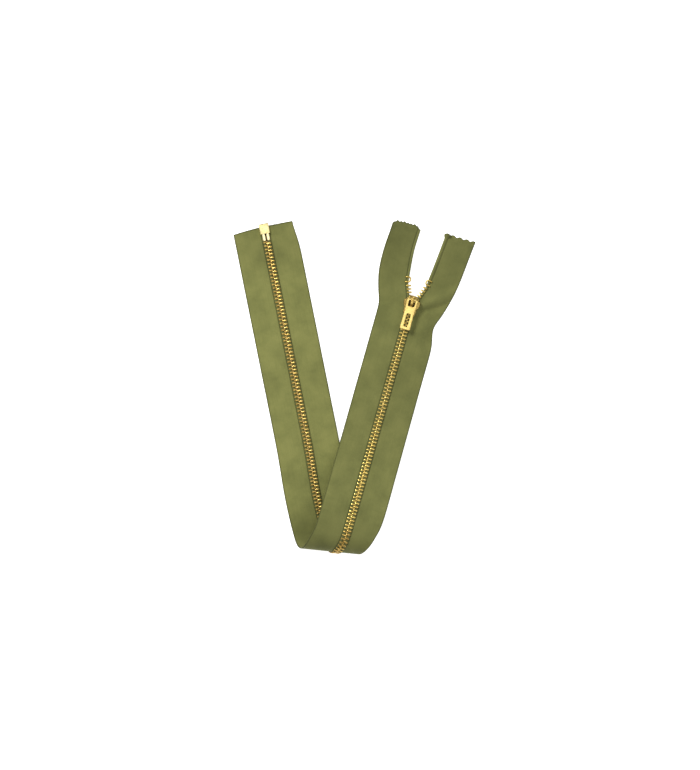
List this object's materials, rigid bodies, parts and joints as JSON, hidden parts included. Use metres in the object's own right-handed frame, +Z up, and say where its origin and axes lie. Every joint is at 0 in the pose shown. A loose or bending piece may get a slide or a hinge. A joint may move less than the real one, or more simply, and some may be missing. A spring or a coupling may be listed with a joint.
{
  "type": "separating zipper",
  "caption": "Separating metal zipper on olive woven tape, laid flat and folded over once, with slider, slotted pull, top stops, box and pin.",
  "frame": {"origin": "bottom centre of the whole part's box, on the table", "axes": "+X to the right as the zipper is seen from above with its fold at the bottom, +Y from the fold towards the ends, +Z up off the table"},
  "size_m": [0.1354, 0.1866, 0.0183],
  "materials": {
    "brass": "polished, slightly worn",
    "pin_brass": "satin",
    "tape": "woven twill tape",
    "spring_steel": "satin"
  },
  "bodies": {
    "chain": {"tape_left_lower": "tape", "teeth_left_lower": "brass", "tape_left_fold": "tape", "teeth_left_fold": "brass", "tape_left_ramp": "tape", "teeth_left_ramp": "brass", "tape_right_lower": "tape", "teeth_right_lower": "brass", "tape_right_fold": "tape", "teeth_right_fold": "brass", "tape_right_ramp": "tape", "teeth_right_ramp": "brass", "retainer_box": "brass", "retaining_pin": "pin_brass", "insertion_pin": "pin_brass"},
    "left_end": {"tape_left_upper": "tape", "teeth_left_upper": "brass", "cord_left_end": "tape", "tooth_left_1": "brass", "tooth_left_2": "brass", "tooth_left_3": "brass", "top_stop_left": "brass"},
    "right_end": {"tape_right_upper": "tape", "teeth_right_upper": "brass", "cord_right_end": "tape", "tooth_right_1": "brass", "tooth_right_2": "brass", "tooth_right_3": "brass", "tooth_right_4": "brass", "top_stop_right": "brass"},
    "slider": {"slider_body": "brass", "crown": "brass", "pawl_spring": "spring_steel"},
    "pawl": {"lock_pawl": "spring_steel"},
    "pull": {"pull_tab": "brass"}
  },
  "joints": [
    {"name": "slider_travel", "type": "slide", "parent": "chain", "child": "slider", "axis": [-0.2711, -0.9626, 0], "range_m": [0, 0.06], "deforming": ["teeth_left_upper", "teeth_right_upper"]},
    {"name": "left_opening", "type": "hinge", "parent": "chain", "child": "left_end", "pos_m": [0.01398, -0.0181, 0.0022], "axis": [0, 0, 1], "range_deg": [0, 10], "deforming": ["teeth_left_upper"]},
    {"name": "right_opening", "type": "hinge", "parent": "chain", "child": "right_end", "pos_m": [0.01398, -0.0181, 0.0022], "axis": [0, 0, -1], "range_deg": [0, 10], "deforming": ["teeth_right_upper"]},
    {"name": "pull_swing", "type": "hinge", "parent": "slider", "child": "pull", "pos_m": [0.03271, 0.04841, 0.00502], "axis": [-0.9626, 0.2711, 0], "range_deg": [0, 175]},
    {"name": "pawl_lift", "type": "hinge", "parent": "slider", "child": "pawl", "pos_m": [0.03209, 0.0462, 0.00485], "axis": [0.9626, -0.2711, 0], "range_deg": [0, 10], "stiffness_Nm_per_rad": 0.0001}
  ],
  "couplings": [
    {"joint": "left_opening", "follows": "slider_travel", "rad_per_m": 2.9},
    {"joint": "right_opening", "follows": "slider_travel", "rad_per_m": 2.9}
  ]
}
